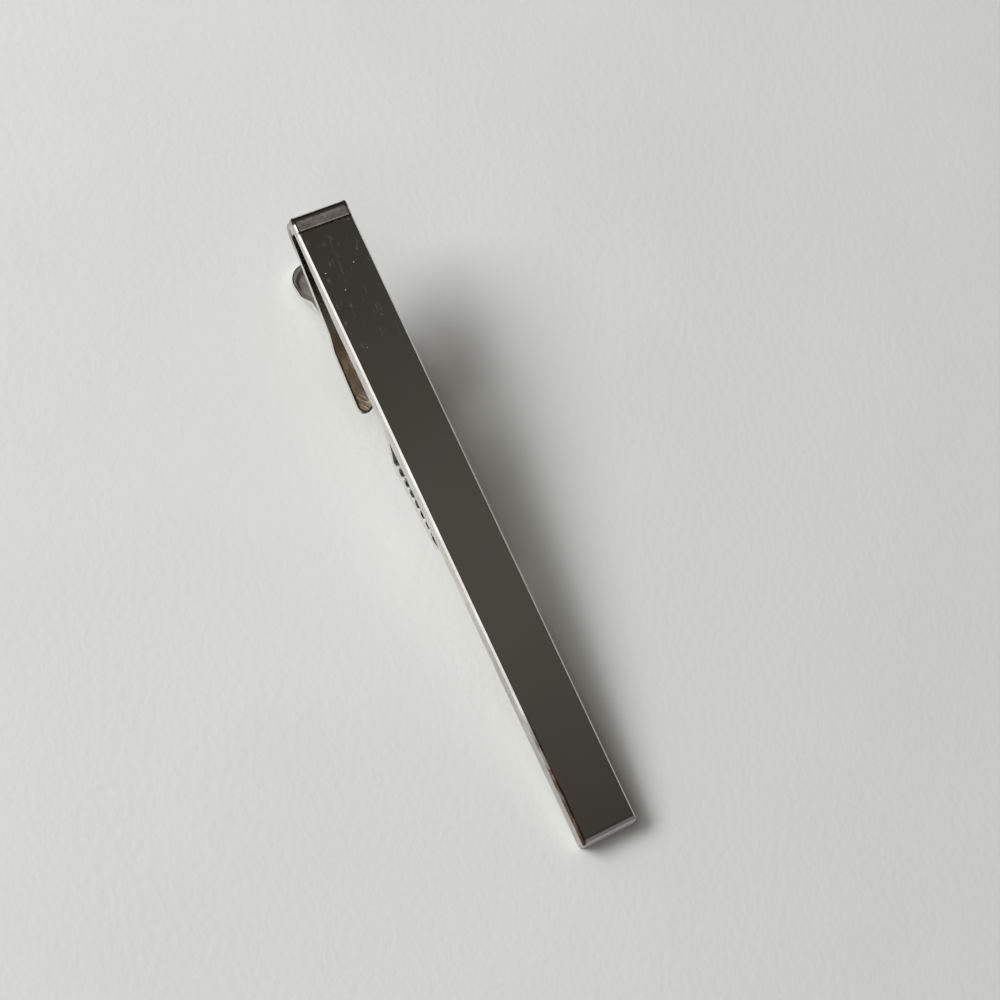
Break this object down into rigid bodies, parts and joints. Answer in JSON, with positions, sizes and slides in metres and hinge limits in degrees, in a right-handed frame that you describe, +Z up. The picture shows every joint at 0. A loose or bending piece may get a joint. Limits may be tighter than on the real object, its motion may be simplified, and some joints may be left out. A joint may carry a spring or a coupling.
{
  "type": "tie clip",
  "caption": "Slim bevelled metal bar with a sprung toothed clasp underneath that pinches a necktie and shirt front together.",
  "frame": {"origin": "middle of the clip's footprint, on the surface that it lies on", "axes": "+Z up with the clip lying on its tip and thumb pad, +X along the clip from the fold to the tip, Y across it"},
  "size_m": [0.0592, 0.0054, 0.0093],
  "materials": {
    "bar_plate": "polished bright plate with fine scratches and specks",
    "frame_plate": "polished plate, a little duller, with faint draw marks",
    "solder": "dark, uneven solder",
    "lever_plate": "tumbled bright plate on stamped sheet",
    "rivet_steel": "plain bright steel",
    "spring_steel": "blued-grey rolled spring steel"
  },
  "bodies": {
    "clip": {"front_bar": "bar_plate", "clip_frame": "frame_plate", "solder_seam": "solder", "pivot_pin": "rivet_steel", "return_spring": "spring_steel"},
    "jaw_lever": {"lever": "lever_plate"}
  },
  "joints": [
    {"name": "lever_pivot", "type": "hinge", "parent": "clip", "child": "jaw_lever", "pos_m": [-0.01699, 0, 0.00429], "axis": [0, 1, 0], "range_deg": [0, 25], "stiffness_Nm_per_rad": 0.1, "springref_deg": -28.65, "deforming": ["return_spring"]}
  ]
}
